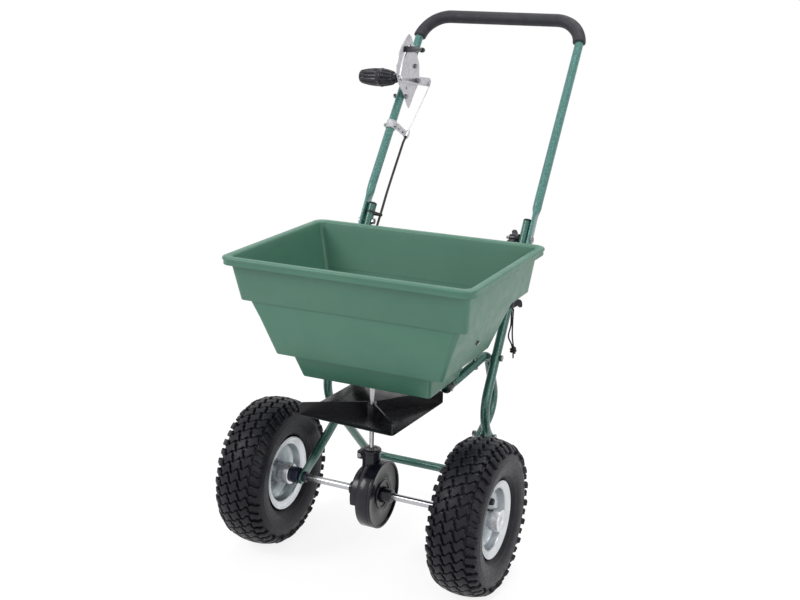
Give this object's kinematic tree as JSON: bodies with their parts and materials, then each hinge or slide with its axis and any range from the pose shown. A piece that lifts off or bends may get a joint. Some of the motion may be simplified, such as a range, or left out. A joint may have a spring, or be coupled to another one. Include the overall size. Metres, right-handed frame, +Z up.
{
  "type": "walk-behind broadcast spreader",
  "caption": "Walk-behind broadcast spreader: stepped hopper over a geared spinning impeller, two pneumatic wheels, tubular frame and handle, and a flow lever that works the gate by cable.",
  "frame": {"origin": "on the ground, at the middle of the whole object's plan box without the hanging cord", "axes": "+Z up, +Y to the rear towards the handle, +X to the pusher's left; the axle runs along X"},
  "size_m": [0.4835, 0.6829, 0.9019],
  "materials": {
    "hammertone_green": "hammered metallic teal-green enamel on steel tube, glossy with fine light flecks",
    "hopper_green": "moulded polyethylene, satin, dull green",
    "zinc": "bright zinc plate, lightly streaked",
    "polished_steel": "ground steel rod",
    "black_plastic": "moulded black plastic, satin",
    "black_foam": "closed-cell foam with a satin skin",
    "tyre_rubber": "matt black tread rubber",
    "black_rubber": "smooth black sheath",
    "gear_nylon": "natural nylon",
    "black_cord": "thin plaited cord"
  },
  "bodies": {
    "frame": {"frame_tube": "hammertone_green", "axle_strut_left": "hammertone_green", "axle_strut_right": "hammertone_green", "strut_cap_left": "black_plastic", "strut_cap_right": "black_plastic", "tube_plug_left": "black_plastic", "tube_plug_right": "black_plastic", "crossing_bolt_upper_left": "zinc", "crossing_bolt_upper_right": "zinc", "crossing_bolt_lower_left": "zinc", "crossing_bolt_lower_right": "zinc", "handle_tube": "hammertone_green", "handle_grip": "black_foam", "handle_bolt_lower_left": "zinc", "handle_bolt_lower_right": "zinc", "handle_bolt_upper_right": "zinc", "handle_carriage_bolt": "zinc", "hopper": "hopper_green", "hopper_bolt_front_left": "zinc", "hopper_bolt_front_right": "zinc", "hopper_bolt_rear_left": "zinc", "hopper_bolt_rear_right": "zinc", "hopper_bolt_side": "zinc", "gate_guide": "zinc", "spacer_collar_left": "black_plastic", "spacer_collar_right": "black_plastic", "axle_bush_left": "black_plastic", "axle_bush_right": "black_plastic", "gearbox_case": "black_plastic", "gearbox_cover": "black_plastic", "neck_bolt": "zinc", "neck_cap": "zinc", "lever_plate": "zinc", "plate_bolt_upper": "zinc", "plate_bolt_lower": "zinc", "lever_pivot_bolt": "zinc", "cable_clamp": "zinc", "cable_sheath": "black_rubber", "cord_hook": "black_plastic", "tie_cord": "black_cord"},
    "drive_axle": {"axle": "polished_steel", "crown_gear": "gear_nylon", "drive_pin": "zinc", "retaining_pin": "zinc", "tyre_left": "tyre_rubber", "rim_left": "zinc", "valve_stem_left": "black_rubber"},
    "free_wheel": {"tyre_right": "tyre_rubber", "rim_right": "zinc", "valve_stem_right": "black_rubber"},
    "spinner": {"impeller": "black_plastic", "impeller_shaft": "polished_steel", "pinion": "gear_nylon", "agitator": "zinc"},
    "flow_arm": {"flow_lever": "zinc", "lever_knob": "black_plastic", "control_wire": "polished_steel"},
    "gate": {"gate_plate": "zinc"},
    "stop": {"lever_stop": "black_plastic"},
    "hand_knob": {"wing_knob": "black_plastic"}
  },
  "joints": [
    {"name": "axle_spin", "type": "hinge", "parent": "frame", "child": "drive_axle", "pos_m": [0, -0.2112, 0.13], "axis": [1, 0, 0], "continuous": true},
    {"name": "free_wheel_spin", "type": "hinge", "parent": "frame", "child": "free_wheel", "pos_m": [-0.1955, -0.2112, 0.13], "axis": [1, 0, 0], "continuous": true},
    {"name": "impeller_spin", "type": "hinge", "parent": "frame", "child": "spinner", "pos_m": [0, -0.2112, 0.271], "axis": [0, 0, 1], "continuous": true},
    {"name": "lever_swing", "type": "hinge", "parent": "frame", "child": "flow_arm", "pos_m": [-0.153, 0.2662, 0.7704], "axis": [-1, 0, 0], "range_deg": [0, 32], "deforming": ["control_wire"]},
    {"name": "gate_slide", "type": "slide", "parent": "frame", "child": "gate", "axis": [0, -1, 0], "range_m": [0, 0.032]},
    {"name": "stop_swing", "type": "hinge", "parent": "frame", "child": "stop", "pos_m": [-0.153, 0.2662, 0.7704], "axis": [-1, 0, 0], "range_deg": [0, 6]},
    {"name": "knob_turn", "type": "hinge", "parent": "frame", "child": "hand_knob", "pos_m": [0.1442, 0.0698, 0.53], "axis": [1, 0, 0], "continuous": true}
  ],
  "couplings": [
    {"joint": "impeller_spin", "follows": "axle_spin", "ratio": -4},
    {"joint": "gate_slide", "follows": "lever_swing", "m_per_rad": 0.0572}
  ]
}
